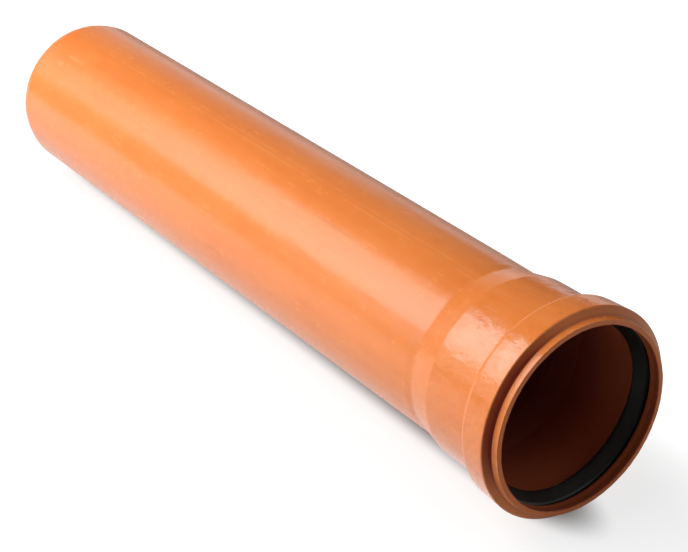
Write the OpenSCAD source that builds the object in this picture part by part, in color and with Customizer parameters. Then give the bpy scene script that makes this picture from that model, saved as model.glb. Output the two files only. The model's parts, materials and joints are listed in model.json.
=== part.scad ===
// Plastic sewer pipe with a formed push-fit socket and its rubber lip seal.
// The pipe lies on level ground along X with its mouth towards +X. The bead round the
// mouth is wider than the pipe, so the pipe rests on the bead and on its plain end, and
// its axis climbs by about one degree towards the mouth.

/* [Pipe] */
// Outside diameter of the pipe
pipe_od = 110; // [90:1:150]
// Wall thickness of the pipe
wall = 3.2; // [2.5:0.1:5]
// Length from the plain end to the mouth
overall_l = 570; // [400:1:1200]
// Length of the chamfer that leads the plain end into a socket
chamfer_l = 6; // [3:0.5:8]
// Angle of that chamfer to the axis
chamfer_angle = 15; // [10:1:18]

/* [Socket] */
// Depth of the socket, from the mouth to the inside end of its barrel
socket_depth = 65; // [55:1:90]
// Room between a like pipe and the back of the barrel, on the radius
socket_gap = 0.3; // [0.2:0.05:0.8]
// How much wider the barrel is at the bead than at its back, on the radius
barrel_draft = 0.5; // [0:0.1:1.5]
// Wall thickness of the barrel, thinned where it was stretched over the mandrel
barrel_wall = 2.9; // [2.4:0.1:4]
// Length of the cone between the pipe and the barrel
flare_l = 17; // [12:1:30]
// How far the outside draws in on its way to the neck
waist_depth = 0.15; // [0:0.05:0.5]
// Length over which it draws in
waist_l = 22; // [15:1:50]
// Length of the neck, the ring at the foot of the cone that bent as the mandrel went in
neck_l = 5.6; // [3:0.2:10]
// How far the outside draws in over the neck
neck_depth = 0.4; // [0:0.05:0.6]

/* [Bead] */
// Distance from the mouth to the front edge of the bead
bead_setback = 6.8; // [5:0.1:10]
// Length of the bead, from its front edge to its rear shoulder
bead_l = 17.8; // [16:0.1:24]
// Height of the crest above the pipe, on the radius
bead_height = 9.6; // [8.5:0.1:12]
// How much lower the rear shoulder is than the crest
bead_fall = 1; // [0.5:0.1:2]
// Length of the steep rear flank
rear_flank_l = 4.5; // [2:0.1:6]
// Wall thickness round the groove
bead_wall = 2.7; // [2.2:0.1:3.5]
// Rounding of the bead's front edge
bead_edge_r = 1.4; // [0.6:0.1:2.2]
// Rounding of the bead's rear shoulder
shoulder_edge_r = 3; // [1:0.1:4]

/* [Lip] */
// Inside radius of the mouth beyond the pipe's own outside radius
mouth_gap = 0.85; // [0.5:0.05:1.5]
// Wall thickness of the lip
lip_wall = 3.3; // [2.5:0.1:4]
// Length of the lip's straight outside
lip_l = 4.1; // [3:0.1:4.6]

/* [Seal] */
// Distance from the mouth to the front of the seal
seal_setback = 12; // [10.5:0.1:14]
// Radial play between the seal and the groove that holds it
seal_play = 0.05; // [0.02:0.01:0.2]
// How far the lip reaches inside the pipe's outside radius
seal_bite = 3; // [2:0.1:3.1]
// How far the lip leans back over its height
seal_lean = 4.4; // [3:0.1:5]
// Height of the body in the groove
seal_body_h = 4.8; // [3.5:0.1:5.2]
// Thickness of the lip at its tip
seal_tip_t = 1.6; // [1:0.1:2.2]
// Thickness of the lip where it leaves the body
seal_root_t = 2.6; // [2:0.1:3.5]

/* [Hidden] */
$fn = 0;
ARC_STEPS = 6;

// Radii of the pipe
pipe_r = pipe_od / 2;
bore_r = pipe_r - wall;
plain_end_r = pipe_r - chamfer_l * tan(chamfer_angle);

// Radii of the socket
barrel_back_r = pipe_r + socket_gap;
barrel_front_r = barrel_back_r + barrel_draft;
crest_r = pipe_r + bead_height;
shoulder_r = crest_r - bead_fall;
mouth_r = pipe_r + mouth_gap;
lip_r = mouth_r + lip_wall;

// Roundings of the lesser corners
mouth_edge_r = 0.4;
lip_root_r = 0.8;
bead_foot_r = 3;
groove_edge_r = 1;
barrel_edge_r = 1.2;
inner_edge_r = 1.6;

// Places along the axis, from the plain end
barrel_back = overall_l - socket_depth;
flare_foot = barrel_back - flare_l;
neck_start = flare_foot - neck_l;
waist_start = neck_start - waist_l;
bead_front = overall_l - bead_setback;
shoulder = bead_front - bead_l;
rear_foot = shoulder - rear_flank_l;
lip_root = overall_l - lip_l;

// The wall follows the mandrel, so its outside corner comes after its inside one at the top
// of the cone and before it at the foot
barrel_corner_lag = 1.6;
foot_corner_lag = 1;

// Slopes of the bead's two flanks, from the radial direction
front_slope = atan2(lip_root - bead_front, crest_r - lip_r);
rear_slope = atan2(rear_flank_l, shoulder_r - barrel_front_r - barrel_wall);

// Where the inside of each flank lies at radius r, one wall thickness in from the outside
function front_flank(r) = lip_root - (r - lip_r) * tan(front_slope) - bead_wall / cos(front_slope);
function rear_flank(r) = shoulder - (shoulder_r - r) * tan(rear_slope) + bead_wall / cos(rear_slope);

// Inside corners of the groove
groove_front = front_flank(crest_r - bead_wall);
groove_back = rear_flank(shoulder_r - bead_wall);

// Radius of the groove's floor, which falls from its front corner to its back one
function groove_r(at) =
    shoulder_r - bead_wall + bead_fall * (at - groove_back) / (groove_front - groove_back);

// The seal: its front, the underside of its body and the tip of its lip
seal_front = overall_l - seal_setback;
seal_top_r = groove_r(seal_front) - seal_play;
seal_under_r = seal_top_r - seal_body_h;
seal_tip_r = pipe_r - seal_bite;
seal_face = 1;

// Roundings of the seal's corners
seal_outer_r = 1.2;
seal_front_r = 1.5;
seal_root_r = 0.8;
seal_seat_r = 0.6;

function unit(v) = v / norm(v);

// A corner of an outline is [radius from the axis, place along it, rounding]
function place(c) = [c[0], c[1]];

// Centre of the arc that rounds corner b, which lies between a and c
function arc_centre(a, b, c) =
    let (to_a = unit(place(a) - place(b)), to_c = unit(place(c) - place(b)))
    let (half = acos(to_a * to_c) / 2)
    place(b) + unit(to_a + to_c) * b[2] / sin(half);

// The corner's own point, or the points of its arc
function rounded(a, b, c) =
    b[2] == 0 ? [place(b)] :
    let (to_a = unit(place(a) - place(b)), to_c = unit(place(c) - place(b)))
    let (half = acos(to_a * to_c) / 2, centre = arc_centre(a, b, c))
    let (from = place(b) + to_a * b[2] / tan(half) - centre)
    let (side = sign(to_a[0] * to_c[1] - to_a[1] * to_c[0]))
    [for (i = [0:ARC_STEPS])
        let (turn = -side * (180 - 2 * half) * i / ARC_STEPS)
        let (x = from[0] * cos(turn) - from[1] * sin(turn), y = from[0] * sin(turn) + from[1] * cos(turn))
        centre + [x, y]];

// A closed outline with its corners rounded
function outline(corners) =
    let (n = len(corners))
    [for (i = [0:n - 1]) each rounded(corners[(i + n - 1) % n], corners[i], corners[(i + 1) % n])];

// The waist: the outside draws in along half a cosine wave, up to the neck
WAIST_STEPS = 6;
waist = [for (i = [0:WAIST_STEPS])
    let (drawn = waist_depth * (1 - cos(180 * i / WAIST_STEPS)) / 2)
    [pipe_r - drawn, waist_start + waist_l * i / WAIST_STEPS, 0]];

// Corners of the bead that carry the part
shoulder_corner = [shoulder_r, shoulder, shoulder_edge_r];
bead_corner = [crest_r, bead_front, bead_edge_r];
lip_root_corner = [lip_r, lip_root, lip_root_r];
plain_corner = [pipe_r, chamfer_l, 0];

pipe_corners = concat(
    [[plain_end_r, 0, 0], plain_corner],
    waist,
    [
        [pipe_r - waist_depth - neck_depth, flare_foot, 0],
        [barrel_back_r + barrel_wall, barrel_back + barrel_corner_lag, barrel_edge_r],
        [barrel_front_r + barrel_wall, rear_foot, bead_foot_r],
        shoulder_corner,
        bead_corner,
        lip_root_corner,
        [lip_r, overall_l, mouth_edge_r],
        [mouth_r, overall_l, mouth_edge_r],
        [mouth_r, front_flank(mouth_r), inner_edge_r],
        [crest_r - bead_wall, groove_front, groove_edge_r],
        [shoulder_r - bead_wall, groove_back, groove_edge_r],
        [barrel_front_r, rear_flank(barrel_front_r), inner_edge_r],
        [barrel_back_r, barrel_back, 0],
        [bore_r, flare_foot + foot_corner_lag, 0],
        [bore_r, 0, 0]
    ]
);

// How far the axis climbs: the tangent from the plain end's corner to the bead's round edge
bead_centre = arc_centre(shoulder_corner, bead_corner, lip_root_corner);
run = bead_centre[1] - chamfer_l;
rise = bead_centre[0] - pipe_r;
tilt = asin(bead_edge_r / norm([run, rise])) + atan2(rise, run);

// The axis meets the plain end at this height, and the part is centred along X
axis_height = pipe_r * cos(tilt) - chamfer_l * sin(tilt);
middle_x = (overall_l * cos(tilt) + (lip_r - plain_end_r) * sin(tilt)) / 2;

// Stands a shape turned about Z on its side, along the pipe's axis at rest
module along_axis() {
    translate([-middle_x, 0, axis_height]) rotate([0, 90 - tilt, 0]) children();
}

// Pipe wall, cone, barrel, bead and lip: one extruded piece, its end formed while hot
module pipe() {
    color("#ee8a49") along_axis() rotate_extrude() polygon(outline(pipe_corners));
}

// Rubber ring: a body seated in the back of the groove, and a lip that leans back from its
// front, so that a pipe going in folds it up under the body
module seal_ring() {
    lip_tip = seal_front - seal_face - seal_lean;
    seat = rear_flank(seal_under_r) + seal_play / cos(rear_slope);
    seat_top = rear_flank(seal_top_r) + seal_play / cos(rear_slope);
    corners = [
        [seal_top_r, seal_front, seal_outer_r],
        [seal_under_r, seal_front - seal_face, seal_front_r],
        [seal_tip_r, lip_tip, 0],
        [seal_tip_r, lip_tip - seal_tip_t, 0],
        [seal_under_r, seal_front - seal_face - seal_root_t, seal_root_r],
        [seal_under_r, seat, seal_seat_r],
        [groove_r(seat_top) - seal_play, seat_top, seal_outer_r]
    ];
    color("#1c1d1b") along_axis() rotate_extrude() polygon(outline(corners));
}

pipe();
seal_ring();
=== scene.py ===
# %% [markdown]
# # A plastic sewer pipe, turned from its own section
#
# The object is half a metre of orange-brown sewer pipe. One end is plain and chamfered. The
# other was heated and pushed over a mandrel, which gave it a wider barrel, a bead with a
# groove inside, and a thin lip round the mouth. A black rubber ring sits in the groove.
#
# Both pieces are turned shapes, so both can be made the same way: draw half of the section,
# round its corners, and carry it once round the pipe's axis. Everything else in this lesson
# is finish: how hot plastic keeps the marks of the die that it came through, how rubber takes
# the light, and how a soft studio shows both.

# %% Load the measured model
import json
import math
import bpy
import numpy as np
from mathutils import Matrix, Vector


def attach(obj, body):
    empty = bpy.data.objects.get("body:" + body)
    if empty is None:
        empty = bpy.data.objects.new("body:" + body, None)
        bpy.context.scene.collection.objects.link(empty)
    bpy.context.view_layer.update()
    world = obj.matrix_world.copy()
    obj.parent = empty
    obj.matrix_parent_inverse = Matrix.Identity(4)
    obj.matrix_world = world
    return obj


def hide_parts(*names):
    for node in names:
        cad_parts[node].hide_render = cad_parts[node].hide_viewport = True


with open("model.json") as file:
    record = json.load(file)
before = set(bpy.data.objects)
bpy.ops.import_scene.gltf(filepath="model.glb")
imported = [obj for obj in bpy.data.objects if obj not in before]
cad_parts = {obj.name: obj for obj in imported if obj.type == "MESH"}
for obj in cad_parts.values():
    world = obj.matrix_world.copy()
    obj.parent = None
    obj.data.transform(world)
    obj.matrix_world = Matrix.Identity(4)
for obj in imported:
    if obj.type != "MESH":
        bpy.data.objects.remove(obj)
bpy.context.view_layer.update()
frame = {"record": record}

# %% [markdown]
# ## Where the axis lies
#
# The bead is wider than the pipe, so the pipe rests on the bead and on its plain end and its
# axis climbs by about a degree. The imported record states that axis: its mount called bore sits
# in the middle of the plain end and looks out of it. Reading the mount keeps this scene in
# step with the solid, whatever its tilt.

# %% Read the axis
mounts = {mount["name"]: mount for mount in frame["record"]["mounts"]}
END_POINT = np.array(mounts["bore"]["pos_m"])
OUT_OF_END = np.array(mounts["bore"]["axis"])
ALONG = -OUT_OF_END / np.linalg.norm(OUT_OF_END)
ACROSS = np.array([0.0, 1.0, 0.0])
UPWARD = np.cross(ALONG, ACROSS)
TILT = math.asin(ALONG[2])
print("the axis climbs by", round(math.degrees(TILT), 2), "degrees")

# %% [markdown]
# ## The section
#
# A section is a closed loop of corners. Each corner holds a radius, a place along the pipe
# measured from the plain end, and the rounding of its edge. The sizes are those of the solid,
# in millimetres, so that this finer skin lies on it to about a tenth everywhere outside and
# all along the bore. Only the groove inside the bead is drawn closer than in the solid: its
# rear wall stands straighter, and the lip ends in a low ridge that holds the seal, with a
# shallow hollow between that ridge and the mouth.

# %% Sizes of the pipe, in millimetres
LENGTH, PIPE_R, WALL = 570.0, 55.0, 3.2
CHAMFER_L, CHAMFER_ANGLE = 6.0, 15.0
SOCKET_DEPTH, SOCKET_GAP, BARREL_DRAFT, BARREL_WALL = 65.0, 0.3, 0.5, 2.9
FLARE_L, NECK_L, NECK_DEPTH, WAIST_L, WAIST_DEPTH = 17.0, 5.6, 0.4, 22.0, 0.15
BEAD_SETBACK, BEAD_L, BEAD_HEIGHT, BEAD_FALL = 6.8, 17.8, 9.6, 1.0
REAR_FLANK_L, BEAD_WALL, BEAD_EDGE, SHOULDER_EDGE = 4.5, 2.7, 1.4, 3.0
MOUTH_GAP, LIP_WALL, LIP_L = 0.85, 3.3, 4.1
# How far the outside corner of a bend comes after its inside one at the top of the cone, and
# before it at the foot
BARREL_LAG, FOOT_LAG = 1.6, 1.0

CHAMFER_DROP = CHAMFER_L * math.tan(math.radians(CHAMFER_ANGLE))
BORE_R = PIPE_R - WALL
BARREL_BACK = LENGTH - SOCKET_DEPTH
FLARE_FOOT = BARREL_BACK - FLARE_L
NECK_START = FLARE_FOOT - NECK_L
CREST, SHOULDER_R = PIPE_R + BEAD_HEIGHT, PIPE_R + BEAD_HEIGHT - BEAD_FALL
MOUTH_R, LIP_R = PIPE_R + MOUTH_GAP, PIPE_R + MOUTH_GAP + LIP_WALL
BACK_R, FRONT_R = PIPE_R + SOCKET_GAP, PIPE_R + SOCKET_GAP + BARREL_DRAFT
BEAD_FRONT, LIP_ROOT = LENGTH - BEAD_SETBACK, LENGTH - LIP_L
SHOULDER = BEAD_FRONT - BEAD_L
REAR_FOOT = SHOULDER - REAR_FLANK_L
FRONT_LEAN = (LIP_ROOT - BEAD_FRONT) / (CREST - LIP_R)
REAR_LEAN = REAR_FLANK_L / (SHOULDER_R - FRONT_R - BARREL_WALL)


def front_flank(radius):
    """Place of the bead's inside front flank at a radius: its outside line, one wall back."""
    return LIP_ROOT - (radius - LIP_R) * FRONT_LEAN - BEAD_WALL * math.hypot(1, FRONT_LEAN)


def rear_flank(radius):
    """Place of the bead's inside rear flank at a radius: its outside line, one wall forward."""
    return SHOULDER - (SHOULDER_R - radius) * REAR_LEAN + BEAD_WALL * math.hypot(1, REAR_LEAN)


# Where the groove is drawn closer than in the solid
REAR_THICKER, RIDGE_LEAN = 1.6, 0.4
GROOVE_FRONT = front_flank(CREST - BEAD_WALL)
GROOVE_BACK = rear_flank(SHOULDER_R - BEAD_WALL) + REAR_THICKER
RIDGE, BARREL_FRONT = GROOVE_FRONT - RIDGE_LEAN, GROOVE_BACK + RIDGE_LEAN
HOLLOW_AT, HOLLOW_DEPTH, RIDGE_RISE = LENGTH - 4.4, 0.6, 0.15
print("bead from", round(SHOULDER, 1), "to", round(BEAD_FRONT, 1), "mm along the pipe")

# %% Corners of the pipe's section
wave = np.linspace(0, 1, 9)
waist = np.stack([PIPE_R - WAIST_DEPTH * (1 - np.cos(np.pi * wave)) / 2,
                  NECK_START - WAIST_L * (1 - wave), np.where(wave < 1, 0, 8.0)], axis=1)
outer_corners = np.array([
    (PIPE_R - CHAMFER_DROP, 0, 0.25),
    (PIPE_R, CHAMFER_L, 0.6),
    *waist,
    (PIPE_R - WAIST_DEPTH - NECK_DEPTH, FLARE_FOOT, 12.0),
    (BACK_R + BARREL_WALL, BARREL_BACK + BARREL_LAG, 10.0),
    (FRONT_R + BARREL_WALL, REAR_FOOT, 3.0),
    (SHOULDER_R, SHOULDER, SHOULDER_EDGE),
    (CREST, BEAD_FRONT, BEAD_EDGE),
    (LIP_R, LIP_ROOT, 0.8),
    (LIP_R, LENGTH, 0.4),
])
inner_corners = np.array([
    (MOUTH_R, LENGTH, 0.4),
    (MOUTH_R + HOLLOW_DEPTH, HOLLOW_AT, 2.5),
    (MOUTH_R - RIDGE_RISE, RIDGE, 2.0),
    (CREST - BEAD_WALL, GROOVE_FRONT, 1.0),
    (SHOULDER_R - BEAD_WALL, GROOVE_BACK, 1.0),
    (FRONT_R, BARREL_FRONT, 1.2),
    (BACK_R, BARREL_BACK, 0.8),
    (BORE_R, FLARE_FOOT + FOOT_LAG, 3.0),
    (BORE_R, 0, 0.25),
])
print("corners outside and inside:", len(outer_corners), len(inner_corners))


# %% [markdown]
# ## Rounding the corners
#
# A sharp corner never catches the light, and real plastic has none. An arc of radius r that
# touches both sides of a corner starts r / tan(half the corner) from it. Long straight runs are
# cut into short steps, with one step very close to each arc, so that the smooth shading of the
# arc doesn't spill over the flat beside it.
#
# The finish differs on the outside, on the inside and on the two cut ends. Each point therefore
# carries a number called side: 0 outside, 1 inside, and between them on a cut end.

# %% Turn corners into a smooth loop
def smooth_loop(corners, side, arc_steps=7, longest=14.0, guard=0.25):
    """Points (radius, place, side) of a closed loop of corners (radius, place, rounding).

    Each corner becomes an arc about centre = corner + bisector * r / sin(half), swept through
    180 - 2 * half degrees. Each straight run between arcs is cut into equal steps no longer
    than longest, with one extra point a guard's length from each end. Side is blended along
    a run between corners that differ in it."""
    here = corners[:, :2]
    to_back = np.roll(here, 1, axis=0) - here
    to_next = np.roll(here, -1, axis=0) - here
    to_back /= np.linalg.norm(to_back, axis=1, keepdims=True)
    to_next /= np.linalg.norm(to_next, axis=1, keepdims=True)
    half = np.arccos(np.clip((to_back * to_next).sum(1), -1, 1)) / 2
    bisector = to_back + to_next
    bisector /= np.maximum(np.linalg.norm(bisector, axis=1, keepdims=True), 1e-9)
    radius = corners[:, 2]
    centre = here + bisector * (radius / np.sin(half))[:, None]
    start = here + to_back * (radius / np.tan(half))[:, None] - centre
    turning = -np.sign(to_back[:, 0] * to_next[:, 1] - to_back[:, 1] * to_next[:, 0])
    turn = turning[:, None] * (np.pi - 2 * half)[:, None] * np.linspace(0, 1, arc_steps)[None, :]
    arcs = centre[:, None, :] + np.stack([
        start[:, :1] * np.cos(turn) - start[:, 1:] * np.sin(turn),
        start[:, :1] * np.sin(turn) + start[:, 1:] * np.cos(turn)], axis=2)
    points, sides = [], []
    for arc, rounding, following, a, b in zip(
            arcs, radius, np.roll(arcs, -1, axis=0), side, np.roll(side, -1)):
        piece = arc if rounding > 0 else arc[:1]
        run = following[0] - piece[-1]
        length = np.linalg.norm(run)
        ends = min(guard, length / 4) / length
        cuts = np.linspace(ends, 1 - ends, max(1, math.ceil(length / longest)) + 1)
        points += [piece, piece[-1] + cuts[:, None] * run]
        sides += [np.full(len(piece), a), np.interp(cuts, (0, 1), (a, b))]
    return np.column_stack([np.concatenate(points), np.concatenate(sides)])


pipe_corners = np.concatenate([outer_corners, inner_corners])
pipe_side = np.repeat([0.0, 1.0], [len(outer_corners), len(inner_corners)])
pipe_loop = smooth_loop(pipe_corners, pipe_side)
print("points in the pipe's loop:", len(pipe_loop))


# %% [markdown]
# ## Carrying the loop round
#
# A turned surface has two parameters: a point's number in the loop, and the angle round the
# axis. Angle 0 is the top of the pipe and it grows towards -Y. Whole arrays give every vertex
# at once, and the quads join each point to its neighbours, wrapping both ways, so the tube is
# closed and has no seam or pole. The same two parameters lay the surface flat for baking.

# %% Turn a loop into a mesh
AROUND = 360


def turned(name, loop, swell=0.0, around=AROUND):
    """A closed ring surface: the point at place p and radius r, at angle t, lies at
    END_POINT + ALONG * p + (UPWARD * cos t - ACROSS * sin t) * (r + swell). Swell is in
    millimetres, one number or one for each angle and point of the loop."""
    count = len(loop)
    angle = np.linspace(0, 2 * np.pi, around, endpoint=False)
    ray = np.cos(angle)[:, None] * UPWARD - np.sin(angle)[:, None] * ACROSS
    radius = (loop[None, :, 0] + swell * np.ones((around, count))) / 1000
    verts = END_POINT + loop[None, :, 1:2] / 1000 * ALONG + radius[:, :, None] * ray[:, None, :]
    number = np.arange(around * count).reshape(around, count)
    beside, onward = np.roll(number, -1, axis=0), np.roll(number, -1, axis=1)
    quads = np.stack([number, beside, np.roll(onward, -1, axis=0), onward], axis=2).reshape(-1, 4)
    mesh = bpy.data.meshes.new(name)
    mesh.vertices.add(around * count)
    mesh.vertices.foreach_set("co", verts.reshape(-1))
    mesh.loops.add(quads.size)
    mesh.loops.foreach_set("vertex_index", quads.reshape(-1).astype(np.int32))
    mesh.polygons.add(len(quads))
    mesh.polygons.foreach_set("loop_start", np.arange(0, quads.size, 4, dtype=np.int32))
    mesh.polygons.foreach_set("use_smooth", np.ones(len(quads), dtype=bool))
    mesh.update(calc_edges=True)
    mesh.attributes.new("side", "FLOAT", "POINT").data.foreach_set("value", np.tile(loop[:, 2], around))
    lay_flat(mesh, loop, around)
    piece = bpy.data.objects.new(name, mesh)
    bpy.context.scene.collection.objects.link(piece)
    return piece


def lay_flat(mesh, loop, around):
    """The bake's map: u is the share of the way round, v the share of the loop's length."""
    steps = np.linalg.norm(np.roll(loop[:, :2], -1, axis=0) - loop[:, :2], axis=1)
    v = np.concatenate([[0], np.cumsum(steps)]) / steps.sum()
    u = np.arange(around + 1) / around
    i, j = np.meshgrid(np.arange(around), np.arange(len(loop)), indexing="ij")
    corners = [(i, j), (i + 1, j), (i + 1, j + 1), (i, j + 1)]
    flat = np.stack([np.stack([u[a], v[b]], axis=-1) for a, b in corners], axis=2)
    mesh.uv_layers.new(name="OFBake").data.foreach_set("uv", flat.reshape(-1))


def volume_mm3(piece):
    """Signed volume of a closed mesh: a sixth of the sum of each triangle's triple product.
    It is positive where the faces point outwards."""
    mesh = piece.data
    points = np.empty(len(mesh.vertices) * 3)
    mesh.vertices.foreach_get("co", points)
    mesh.calc_loop_triangles()
    corner = np.empty(len(mesh.loop_triangles) * 3, dtype=np.int32)
    mesh.loop_triangles.foreach_get("vertices", corner)
    a, b, c = np.moveaxis(points.reshape(-1, 3)[corner.reshape(-1, 3)], 1, 0)
    return float((np.cross(a, b) * c).sum() / 6 * 1e9)


def measure(piece):
    """The name, triangles and volume of a closed piece, as a line to print."""
    triangles = 2 * len(piece.data.polygons)
    return "%s: %d triangles, volume %d mm3" % (piece.name, triangles, round(volume_mm3(piece)))


# %% [markdown]
# ## The pipe, and the burr that the saw leaves
#
# Pipe is sawn to length while it is still warm, so neither cut edge is quite even: a thin burr
# stands up in places by a tenth of a millimetre or two. Painted noise would not change the
# outline of the mouth, so the vertices near the two cuts move in or out by a wave that is
# made of a few sines, each with a random phase from a fixed seed.

# %% Make the pipe
rng = np.random.default_rng(110)


def ragged(around, waves):
    """A closed wavy line: the mean of sines of the given whole numbers of waves."""
    angle = np.linspace(0, 2 * np.pi, around, endpoint=False)[:, None]
    return np.sin(np.array(waves) * angle + rng.uniform(0, 2 * np.pi, len(waves))).mean(1)


BURR, BURR_REACH = 0.22, 0.9
near_cut = np.exp(-(np.minimum(pipe_loop[:, 1], LENGTH - pipe_loop[:, 1]) / BURR_REACH) ** 2)
away_from_wall = np.where(pipe_loop[:, 2] > 0.5, -1, 1)
burr = BURR * ragged(AROUND, [7, 11, 19, 31, 47, 64])[:, None] * near_cut * away_from_wall
pipe_skin = turned("pipe_skin", pipe_loop, burr)
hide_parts("pipe")
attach(pipe_skin, "root")
print(measure(pipe_skin))

# %% [markdown]
# ## The seal
#
# The seal is a moulded rubber ring with two jobs. Its thick body fills the groove and holds it
# there, right up to the ridge behind the lip. The seal's own lip leaves the body's front corner
# and leans back into the socket, so that a pipe going in folds it outwards. The corner is well
# rounded, and carries the soft stripe of light that runs round the rubber. The section is
# turned like the pipe's, only with shorter steps, because its curves are small.

# %% Make the seal
SEAL_PLAY, SEAL_BITE, SEAL_LEAN, SEAL_SETBACK = 0.05, 3.0, 7.0, 0.4
SEAL_BODY_H, SEAL_TIP_T, SEAL_ROOT_T, SEAL_FACE = 5.3, 1.2, 4.6, -0.6


def groove_r(place):
    """Radius of the groove's floor, on the line between its two inside corners."""
    share = (place - GROOVE_BACK) / (GROOVE_FRONT - GROOVE_BACK)
    return SHOULDER_R - BEAD_WALL + BEAD_FALL * share


SEAL_FRONT = GROOVE_FRONT - SEAL_SETBACK
SEAL_TOP = groove_r(SEAL_FRONT) - SEAL_PLAY
SEAL_UNDER = SEAL_TOP - SEAL_BODY_H
SEAL_TIP = PIPE_R - SEAL_BITE
LIP_TIP = SEAL_FRONT + SEAL_FACE - SEAL_LEAN
seat = BARREL_FRONT + SEAL_PLAY
seal_corners = np.array([
    (SEAL_TOP, SEAL_FRONT, 1.0),
    (SEAL_UNDER, SEAL_FRONT + SEAL_FACE, 3.0),
    (SEAL_TIP, LIP_TIP, 0.3),
    (SEAL_TIP, LIP_TIP - SEAL_TIP_T, 0.3),
    (SEAL_UNDER, SEAL_FRONT + SEAL_FACE - SEAL_ROOT_T, 0.8),
    (SEAL_UNDER, seat, 0.6),
    (groove_r(seat) - SEAL_PLAY, seat, 1.2),
])
seal_skin = turned("seal_skin", smooth_loop(seal_corners, np.zeros(len(seal_corners)), longest=1.5))
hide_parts("seal_ring")
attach(seal_skin, "root")
print(measure(seal_skin))

# %% [markdown]
# ## Writing shaders as sums
#
# Every finish below depends on where a point lies: how far along the pipe, at what angle round
# it, and on which side of the wall. Those are sums on numbers, so a small class lets a socket
# be used in a sum as if it were the number, and adds the Math nodes itself. Each other node
# comes from one method, which takes the node's type, its settings and what its sockets hold.

# %% Shader helpers
class Value:
    """An output socket. Numbers can be written in sums: a + b, 1 - a, a * b, abs(a), a ** 2."""

    def __init__(self, tree, socket):
        self.tree, self.socket = tree, socket

    def sum_of(self, operation, *terms):
        return self.tree.node("ShaderNodeMath", {"operation": operation}, terms)[0]

    def __add__(self, other): return self.sum_of("ADD", self, other)
    def __radd__(self, other): return self.sum_of("ADD", other, self)
    def __sub__(self, other): return self.sum_of("SUBTRACT", self, other)
    def __rsub__(self, other): return self.sum_of("SUBTRACT", other, self)
    def __mul__(self, other): return self.sum_of("MULTIPLY", self, other)
    def __rmul__(self, other): return self.sum_of("MULTIPLY", other, self)
    def __truediv__(self, other): return self.sum_of("DIVIDE", self, other)
    def __pow__(self, other): return self.sum_of("POWER", self, other)
    def __abs__(self): return self.sum_of("ABSOLUTE", self)

    def rising(self, low, high):
        """0 up to low, 1 from high on, and a smooth S between. It falls where high < low."""
        return self.tree.node("ShaderNodeMapRange", {"interpolation_type": "SMOOTHSTEP"},
                              {"Value": self, "From Min": low, "From Max": high})[0]


class Tree:
    """The node tree of a material, world or other owner, empty at first."""

    def __init__(self, owner):
        owner.use_nodes = True
        self.nodes, self.links = owner.node_tree.nodes, owner.node_tree.links
        self.nodes.clear()

    def node(self, kind, settings=None, inputs=None):
        """A new node. Inputs is a list in socket order or a dict by socket name or number."""
        made = self.nodes.new(kind)
        for key, value in (settings or {}).items():
            setattr(made, key, value)
        pairs = inputs.items() if isinstance(inputs, dict) else enumerate(inputs or ())
        for key, value in pairs:
            if isinstance(value, Value):
                self.links.new(value.socket, made.inputs[key])
            else:
                made.inputs[key].default_value = value
        return [Value(self, socket) for socket in made.outputs if socket.enabled]

    def blend(self, share, first, second):
        """A colour: the first where share is 0, the second where it is 1."""
        return self.node("ShaderNodeMix", {"data_type": "RGBA"}, {0: share, 6: first, 7: second})[0]

    def grain(self, spot, size, detail=3.0, roughness=0.55):
        """Cloudy noise from -1 to 1 whose patches are about size millimetres along, across
        and upward: patches much longer than they are wide become streaks."""
        stretched = self.node("ShaderNodeMapping", {"vector_type": "TEXTURE"},
                              {"Vector": spot, "Scale": size})[0]
        cloud = self.node("ShaderNodeTexNoise", {},
                          {"Vector": stretched, "Scale": 1.0, "Detail": detail, "Roughness": roughness})
        return (cloud[0] - 0.5) * 4


print("shader helpers ready")


# %% [markdown]
# ## Where a point lies on the pipe
#
# Object coordinates are metres in the model's frame, in which the pipe is tilted. A Mapping
# node of the texture kind undoes a placement: it takes away the plain end's place and the
# tilt, and turns metres into millimetres. What comes out is the distance along the pipe and
# two offsets from the axis. Those two give the angle round the pipe, 0 at the top and growing
# towards -Y, as in the meshes, and the distance from the axis.

# %% Coordinates of the pipe
def pipe_place(tree):
    """Spot, along, angle in degrees and radius in millimetres, from Object coordinates."""
    object_spot = tree.node("ShaderNodeTexCoord")[3]
    spot = tree.node("ShaderNodeMapping", {"vector_type": "TEXTURE"},
                     {"Vector": object_spot, "Location": END_POINT, "Rotation": (0, -TILT, 0),
                      "Scale": (0.001, 0.001, 0.001)})[0]
    along, across, upward = tree.node("ShaderNodeSeparateXYZ", {}, [spot])
    angle = tree.node("ShaderNodeMath", {"operation": "ARCTAN2"}, [across * -1, upward])[0]
    return spot, along, angle * math.degrees(1), (across ** 2 + upward ** 2) ** 0.5


def line_round(angle, at, half_width):
    """A soft line along the pipe: 1 at its angle and 0 half a width, in degrees, away."""
    return (abs(angle - at) / half_width).rising(1, 0)


def between(value, low, high, soft):
    """1 between low and high, with soft ends."""
    return value.rising(low - soft, low + soft) * value.rising(high + soft, high - soft)


def patch(along, angle, at, reach, edge):
    """A round mark: 1 in its middle and 0 outside. At and reach hold millimetres along and
    degrees round, and edge is a noise that frays its outline."""
    far = ((along - at[0]) / reach[0]) ** 2 + ((angle - at[1]) / reach[1]) ** 2
    return (far ** 0.5 + edge * 0.35).rising(1.05, 0.35)


print("marks are placed in millimetres along and degrees round")

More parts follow.
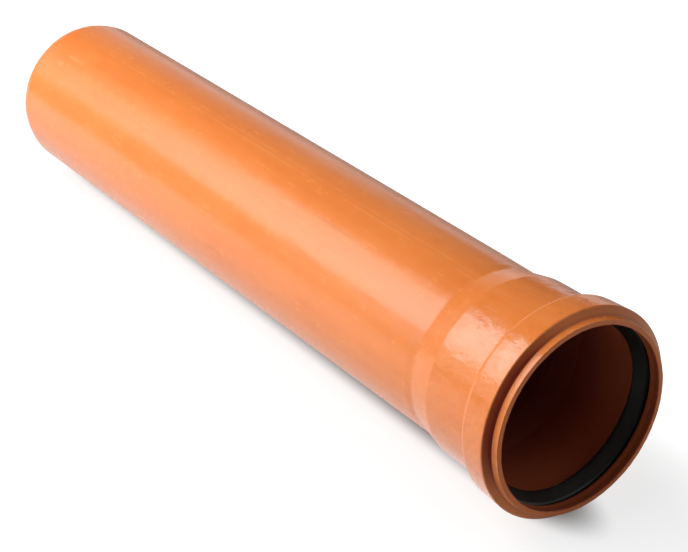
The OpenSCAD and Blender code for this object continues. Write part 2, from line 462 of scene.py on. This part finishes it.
# %% [markdown]
# ## Orange PVC
#
# The pipe is extruded: molten plastic is pushed through a ring-shaped die and cooled in a
# sleeve. That leaves four things to see. The pigment is a little cloudy. Faint streaks run
# lengthwise. A nick in the die draws a thin raised line from end to end, paler than the rest.
# And the skin, which looks smooth, waves very slightly, so that a reflection's edges wander.
#
# The end was then heated and formed. Its skin is mottled like orange peel, most of all on the
# barrel and on the bead's crest, and there a pale mottled patch laid along the window's
# highlight is a painted highlight.
# On the bead's front flank, between the crest and the lip, the colour carries painted shade,
# darkest at two opposite angles round the pipe and deepest right at the lip's root. The inside
# touched the mandrel and not the sleeve, so it is rougher; its colour carries painted shade,
# darker all through the bore and darkest away from its ends. The two cut ends show raw plastic:
# dull, scored round and round by the blade, and greyed by handling.
#
# All of it is worked out from place, angle and side, so that each mark stays on its own part
# of the pipe. Colour takes the pigment and the stains, and also the painted highlight on the
# barrel and crest and the painted shade on the flank and in the bore; roughness takes the wear,
# and one Bump node takes every height, in millimetres.

# %% Place, and the parts of the pipe
pvc = bpy.data.materials.new("orange_pvc")
tree = Tree(pvc)
spot, along, angle, radius = pipe_place(tree)
side = tree.node("ShaderNodeAttribute", {"attribute_name": "side"})[2]
inner_skin = side.rising(0.9, 1.0)
cut_face = between(side, 0.05, 0.95, 0.04)
outer_skin = side.rising(0.1, 0.0)
formed = along.rising(FLARE_FOOT - 3, FLARE_FOOT + 4)
barrel = between(along, BARREL_BACK + 1, REAR_FOOT + 1, 1.5)
crest = between(along, SHOULDER + 1, BEAD_FRONT, 1.0)
print("regions: outer skin, inner skin, cut face, formed end, barrel, crest")

# %% Pigment and streaks
cloud = tree.grain(spot, (90, 40, 40), 2.0)
haze = tree.grain(spot, (14, 9, 9), 3.0)
streak = tree.grain(spot, (260, 1.6, 1.6), 4.0, 0.6)
broad_streak = tree.grain(spot, (420, 7, 7), 2.0)
broken = tree.grain(spot, (11, 4, 4), 3.0)
faded = tree.grain(spot, (70, 5, 5), 3.0)
print("cloud, haze and two widths of streak")

# %% Lines that the die drew
# angle in degrees, where it starts and ends in millimetres, strength
die_lines = [(7.9, 70, 481, 0.8), (12.0, 60, 546, 1.0), (23.0, 230, 480, 0.45), (29.5, 405, 487, 0.6),
             (141.0, 30, 482, 0.6), (149.5, 120, 500, 0.4), (-67.0, 90, 470, 0.7), (-112.0, 40, 350, 0.5),
             (-116.5, 200, 480, 0.6), (203.0 - 360, 10, 480, 0.5)]
lines = 0.0
for at, start, end, strength in die_lines:
    lines = lines + line_round(angle, at, 0.62) * between(along, start, end, 25) * strength
lines = lines * (0.45 + faded * 0.6 + broken * 0.25).rising(0, 1.2) * outer_skin
print("die lines:", len(die_lines))

# %% Scuffs, stains and specks
# place along and angle, reach along and reach round, strength
scuff_rows = [
    (40, 31.5, 17, 2.0, 1.0), (30, 40.5, 6, 3.5, 1.0), (178, 78, 3.2, 2.2, 1.0),
    (331, 36, 13, 2.4, 0.5), (118, -96, 15, 2.5, 0.8), (300, 151, 9, 3.0, 0.8),
    (455, -150, 22, 2.0, 0.7)]
stain_rows = [
    (272, 93.5, 14, 1.3, 0.7), (27, 31.5, 1.6, 1.4, 1.0), (373, 32.0, 44, 1.1, 0.55),
    (392, 43.5, 1.5, 4.2, 0.5), (398, 41.5, 1.2, 2.6, 0.5), (522, 37, 1.3, 1.6, 0.6),
    (532, 43, 2.6, 0.9, 0.6), (557, 44.5, 2.6, 0.8, 0.7), (556, 36, 1.1, 1.4, 0.6),
    (560.5, 29, 1.2, 1.5, 0.8), (558, 8, 2.8, 1.2, 0.5), (210, -88, 20, 1.2, 0.6),
    (96, 160, 1.6, 2.4, 0.7)]
# Pale patches along the window's highlight on the barrel and the crest: a painted highlight
highlight_patch_rows = [(526, 38, 26, 17, 0.8), (556, 39, 7.5, 14, 1.0)]


def marks(rows):
    """The sum of round marks, one for each row."""
    total = 0.0
    for place, at, reach, reach_round, strength in rows:
        total = total + patch(along, angle, (place, at), (reach, reach_round), broken) * strength
    return total


scuffs, stains, highlight_patches = marks(scuff_rows), marks(stain_rows), marks(highlight_patch_rows)
highlight_patches = highlight_patches * (0.75 + haze * 0.35 + broken * 0.25) * outer_skin
speck_cells = tree.node("ShaderNodeTexVoronoi", {}, {"Vector": spot, "Scale": 0.09, "Randomness": 1.0})
speck_keep = tree.node("ShaderNodeSeparateColor", {}, [speck_cells[1]])[0]
specks = speck_cells[0].rising(0.06, 0.025) * speck_keep.rising(0.75, 0.85)
print(len(scuff_rows), "scuffs,", len(stain_rows), "stains, and a speck in one of four 11 mm cells")

# %% Colour
DEEP, PALE = (0.76, 0.184, 0.034, 1), (0.91, 0.29, 0.070, 1)
BLEACHED, DIRT, RAW = (0.92, 0.52, 0.26, 1), (0.33, 0.10, 0.025, 1), (0.96, 0.27, 0.085, 1)
PAINTED_HIGHLIGHT, PAINTED_FLANK_SHADE = (0.95, 0.75, 0.60, 1), (0.245, 0.016, 0.002, 1)
BORE_SHADE, DEEP_BORE_SHADE = (0.48, 0.090, 0.060, 1), (0.058, 0.018, 0.022, 1)
tone = (cloud * 0.1 + haze * 0.07 + streak * 0.06 + broad_streak * 0.07 + 0.5).rising(0, 1)
colour = tree.blend(tone, DEEP, PALE)
colour = tree.blend(lines * 0.19 + scuffs * 0.13 * outer_skin, colour, BLEACHED)
# A painted highlight: the pale patches brighten the colour where the highlight falls
colour = tree.blend(highlight_patches * 0.2, colour, PAINTED_HIGHLIGHT)
colour = tree.blend((stains * 0.36 + specks * 0.3) * outer_skin, colour, DIRT)
# Painted shade in the bore: the colour is darker all along it, and darker still away from the ends
shaded_inside = inner_skin * along.rising(100, 300) * along.rising(545, 490)
colour = tree.blend(inner_skin * 0.6 + shaded_inside * 0.25, colour, BORE_SHADE)
colour = tree.blend(shaded_inside * 0.5, colour, DEEP_BORE_SHADE)
# Painted shade on the bead's front flank: darkest at 66 and 246 degrees round, deepest at the lip's root
darkest_at = 66
twice_round = (angle - darkest_at) * math.radians(2)
around_twice = tree.node("ShaderNodeMath", {"operation": "COSINE"}, [twice_round])[0]
flank_band = between(along, BEAD_FRONT, LIP_ROOT, 0.5) * radius.rising(LIP_R + 0.05, LIP_R + 0.6) * outer_skin
flank_shade_share = around_twice.rising(-0.6, 0.9) * (0.95 - radius.rising(LIP_R + 1, CREST) * 0.2)
flank_shade_share = flank_shade_share + radius.rising(LIP_R + 2.6, LIP_R + 0.6) * 0.25
colour = tree.blend(flank_band * flank_shade_share, colour, PAINTED_FLANK_SHADE)
score = tree.grain(spot, (3.0, 0.5, 0.5), 2.0)
colour = tree.blend(cut_face * (0.75 + score * 0.2), colour, RAW)
# The inside and fold in this list are painted shade; the pale patches are a painted highlight
print("colour mixed: pigment, faded lines and scuffs, chalk, dirt, inside, fold and raw cut")

# %% Height and roughness
chamfer = between(along, -1, CHAMFER_L, 0.3) * outer_skin
peel = tree.grain(spot, (3.2, 2.6, 2.6), 2.0, 0.5)
coarse_peel = tree.grain(spot, (8, 6, 6), 2.0, 0.5)
wave = tree.grain(spot, (55, 16, 16), 2.0, 0.5)
turned_rings = tree.node("ShaderNodeMath", {"operation": "SINE"}, [along * 11])[0]
height = lines * 0.008 + streak * 0.002 + wave * 0.1
mottled = barrel * 0.9 + crest + formed * 0.35
height = height + (peel * 0.04 + coarse_peel * 0.07) * mottled * outer_skin
height = height + (scuffs * peel * 0.006 - stains * 0.008) * outer_skin
height = height + turned_rings * chamfer * 0.008 + peel * inner_skin * 0.012 + score * cut_face * 0.04
bump = tree.node("ShaderNodeBump", {}, {"Strength": 1.0, "Distance": 0.001, "Height": height})[0]
rough = 0.255 + haze * 0.03 + streak * 0.015 + lines * 0.06 + scuffs * 0.07 * outer_skin
rough = rough - (barrel + crest) * (0.08 - coarse_peel * 0.05 - peel * 0.03)
rough = rough + inner_skin * 0.17 + cut_face * 0.3 + chamfer * 0.14 + flank_band * 0.12
shaded = tree.node("ShaderNodeBsdfPrincipled", {}, {
    "Base Color": colour, "Roughness": rough, "IOR": 1.5, "Normal": bump})
tree.node("ShaderNodeOutputMaterial", {}, {"Surface": shaded[0]})
pipe_skin.data.materials.append(pvc)
print("orange_pvc has", len(tree.nodes), "nodes")

# %% [markdown]
# ## Black rubber
#
# Moulded rubber is dark, not black: a few parts in a hundred of the light come back. Its skin is
# satin, with a faint grey bloom where wax has come to the surface, and it picks up dust. A soft
# pale stripe along the lower part of the lip is a painted sheen, mixed with the colour of dust.
# The two halves of the mould met round the tip of the lip and left a thin raised line there.

# %% Rubber
rubber = bpy.data.materials.new("seal_rubber")
tree = Tree(rubber)
spot, along, angle, radius = pipe_place(tree)
bloom = tree.grain(spot, (9, 9, 9), 3.0)
pores = tree.grain(spot, (1.1, 0.9, 0.9), 2.0)
dust = tree.grain(spot, (2.2, 2.2, 2.2), 4.0, 0.7).rising(0.9, 1.6)
from_parting = abs(along - (LIP_TIP - SEAL_TIP_T / 2))
parting = (from_parting / 0.18).rising(1, 0) * radius.rising(SEAL_TIP + 0.4, SEAL_TIP + 0.1)
BLACK, BLOOMED, DUST_AND_SHEEN = (0.006, 0.007, 0.006, 1), (0.015, 0.018, 0.016, 1), (0.16, 0.12, 0.09, 1)
colour = tree.blend(bloom.rising(-0.8, 1.4), BLACK, BLOOMED)
# A painted sheen: a pale stripe along the lower part of the seal's lip, mixed in with the dust
painted_sheen = abs(angle).rising(85, 150) * between(radius, SEAL_TIP + 1.2, SEAL_UNDER - 0.8, 0.9)
colour = tree.blend(dust * 0.5 + painted_sheen * 0.11, colour, DUST_AND_SHEEN)
bump = tree.node("ShaderNodeBump", {}, {
    "Strength": 1.0, "Distance": 0.001, "Height": pores * 0.012 + parting * 0.12 + bloom * 0.01})[0]
shaded = tree.node("ShaderNodeBsdfPrincipled", {}, {
    "Base Color": colour, "Roughness": 0.4 + bloom * 0.05 + dust * 0.2, "IOR": 1.52, "Normal": bump})
tree.node("ShaderNodeOutputMaterial", {}, {"Surface": shaded[0]})
seal_skin.data.materials.append(rubber)
print("seal_rubber has", len(tree.nodes), "nodes")

# %% [markdown]
# ## Floor
#
# The floor is a sheet of matt white paper, wide enough that its edge is never near. The camera
# has to see it white and yet see the pipe's shadow on it, while the light that it throws back
# on the pipe's underside is only that of a real studio floor. The Light Path node tells these
# rays apart, so the paper has one tone for each: a plain one for the light that it passes on,
# a greyer one under a glow for the camera, and a third for what the glossy plastic mirrors.
#
# The camera's glow is held back near the pipe, and that paints the pipe's shadow there: the dark
# seam where pipe and floor meet and the soft shade round it, on top of the real shadow that the
# lamps cast. What the glossy plastic mirrors is painted light and shade too: the mirrored paper
# is bright beside the pipe on the window's side and far away on the other side, painted dark in
# front of the mouth, under it, and well behind the plain end, and dimmer far out on the window's
# side.

# %% Make the floor
FLOOR_REACH, FLOOR_BOUNCE, FLOOR_SEEN = 8.0, 0.55, 0.25
# The shade on the floor is straight for this half length, and then thins out slowly
SHADE_HALF, SHADE_STRETCH = 0.2375, 0.4
x, y = np.array([(-1, -1), (1, -1), (1, 1), (-1, 1)]).T * FLOOR_REACH
floor_mesh = bpy.data.meshes.new("floor")
floor_mesh.from_pydata(np.stack([x, y, 0 * x], axis=1).tolist(), [], [(0, 1, 2, 3)])
floor = bpy.data.objects.new("floor", floor_mesh)
bpy.context.scene.collection.objects.link(floor)


def kinds_of_ray(tree):
    """Two numbers: 1 for a ray from the camera, and 1 for one off a glossy or clear surface."""
    kinds = {value.socket.name: value for value in tree.node("ShaderNodeLightPath")}
    return kinds["Is Camera Ray"], kinds["Is Glossy Ray"] + kinds["Is Transmission Ray"]


paper = bpy.data.materials.new("paper")
tree = Tree(paper)
seen, mirrored = kinds_of_ray(tree)
x, y, z = tree.node("ShaderNodeSeparateXYZ", {}, [tree.node("ShaderNodeTexCoord")[3]])
past_ends = (abs(x) - SHADE_HALF) * SHADE_STRETCH
past_ends = past_ends.sum_of("MAXIMUM", past_ends, 0.0)
from_axis = (past_ends ** 2 + y ** 2) ** 0.5
# Painted shadow: the camera's glow is low beside the pipe and rises away from it
glow = 0.1 + from_axis.rising(0.013, 0.0305) * 0.68 + from_axis.rising(0.05, 0.13) * 0.25
# Painted light and shade, set by place, on the paper that the glossy plastic mirrors
mirror_light_share = 1 - x.rising(0.28, 0.36) * y.rising(0.25, 0.05)
lit_side = 1 - y.rising(-0.3, 0.3) * x.rising(0.35, 0.05)
painted_mouth_shadow = x.rising(0.24, 0.3) * from_axis.rising(0.12, 0.05)
mirror_light_share = mirror_light_share * x.rising(-0.95, -0.7) * (1 - painted_mouth_shadow * 0.8)
mirror_light_share = mirror_light_share * (1 - lit_side * from_axis.rising(0.2, 0.8) * 0.45)
mirror_tone = mirror_light_share * (0.4 + lit_side * 0.25) + 0.05
tone = FLOOR_BOUNCE + seen * (FLOOR_SEEN - FLOOR_BOUNCE) + mirrored * (mirror_tone - FLOOR_BOUNCE)
matt = tree.node("ShaderNodeBsdfDiffuse", {}, {"Color": tone})
far_side = (1 - lit_side) * from_axis.rising(0.5, 1.5)
mirror_glow = lit_side * mirror_light_share * 0.68 + far_side * 0.9
light = tree.node("ShaderNodeEmission", {}, {"Strength": seen * glow + mirrored * mirror_glow})
both = tree.node("ShaderNodeAddShader", {}, [matt[0], light[0]])
tree.node("ShaderNodeOutputMaterial", {}, {"Surface": both[0]})
floor_mesh.materials.append(paper)
print("floor", 2 * FLOOR_REACH, "m square")

# %% [markdown]
# ## Light
#
# The key light is one long window to the left of the pipe, as high as a person, whose light
# fails towards its far end. A row of narrow soft boxes makes such a fall in brightness with
# plain area lamps. On the pipe it becomes the long pale highlight, which is brighter towards
# the socket. A low box under it, the sill, carries that highlight down the side.
#
# Three weak boxes stand behind and to the right. The corner and the door give the upper
# outline its pale edge, and the front lights the cut ring and the first few centimetres inside
# the mouth. Nothing shines straight along the bore, so the pipe looks dark inside.

# %% Lamps
def softbox(name, place, facing, width, height, radiance):
    """A rectangular lamp that shines in the direction facing, with its width level. Its power
    is its radiance times its area times pi."""
    lamp = bpy.data.lights.new(name, "AREA")
    lamp.shape, lamp.size, lamp.size_y = "RECTANGLE", width, height
    lamp.energy = radiance * width * height * math.pi
    box = bpy.data.objects.new(name, lamp)
    box.location, box.rotation_euler = place, (-Vector(facing)).to_track_quat("Z", "Y").to_euler()
    box.visible_camera = False
    bpy.context.scene.collection.objects.link(box)


WINDOW_FROM, WINDOW_TO, WINDOW_HEIGHT, PANES = -2.5, 0.2, 1.37, 9
DIMMEST, GAIN, GAIN_OVER = 0.84, 4.0, 1.5
pane = (WINDOW_TO - WINDOW_FROM) / PANES
for number in range(PANES):
    middle = WINDOW_FROM + (number + 0.5) * pane
    share = min(1, (middle - WINDOW_FROM) / GAIN_OVER)
    radiance = DIMMEST + GAIN * share ** 1.2
    softbox("window_%d" % number, (middle, -0.835, 1.2), (0, 0.873, -0.487), pane, WINDOW_HEIGHT, radiance)
softbox("sill", (-0.6, -1.2, 0.37), (0, 1, 0), 1.2, 0.45, 1.35)
softbox("corner", (-2.05, 1.2, 0.6), (2.05, -1.2, -0.5), 1.1, 0.8, 0.38)
softbox("door", (1.1, 1.9, 0.36), (-1.1, -1.9, -0.3), 1.5, 0.6, 0.5)
softbox("front", (1.9, 1.0, 1.3), (-1.9, -1.0, -1.2), 1.2, 1.0, 1.1)
print("panes in the window:", PANES)

# %% World
world = bpy.data.worlds.new("studio")
bpy.context.scene.world = world
tree = Tree(world)
seen, mirrored = kinds_of_ray(tree)
x, y, z = tree.node("ShaderNodeSeparateXYZ", {}, [tree.node("ShaderNodeTexCoord")[0]])
skirting = (z + x * 0.06).rising(0.14, 0.03) * (1 - y.rising(-0.25, -0.5) * 0.6)
DIM, SKIRTING_GLOW = 0.08, 0.75
whiteness = seen * (1 - DIM) + mirrored * skirting * SKIRTING_GLOW + DIM
sky = tree.node("ShaderNodeBackground", {}, {"Color": (1, 1, 1, 1), "Strength": whiteness})
tree.node("ShaderNodeOutputWorld", {}, {"Surface": sky[0]})
print("the room is white near the horizon and dim above")

# %% [markdown]
# ## Camera
#
# The camera looks down at the pipe from the mouth's side, at 29 degrees above the floor, with
# a long lens that keeps the two ends nearly the same size.

# %% Camera
AZIMUTH, ELEVATION = math.radians(55.318), math.radians(28.918)
camera = bpy.data.cameras.new("camera")
camera.sensor_width, camera.lens = 36.0, 96.33
camera_object = bpy.data.objects.new("camera", camera)
bpy.context.scene.collection.objects.link(camera_object)
level = math.cos(ELEVATION)
back = Vector((math.sin(AZIMUTH) * level, -math.cos(AZIMUTH) * level, math.sin(ELEVATION)))
camera_object.location = (0.8976, -0.5808, 0.6144)
camera_object.rotation_euler = back.to_track_quat("Z", "Y").to_euler()
bpy.context.scene.camera = camera_object
bpy.context.scene.view_settings.view_transform = "Standard"
print("lens", round(camera.lens, 2), "mm")
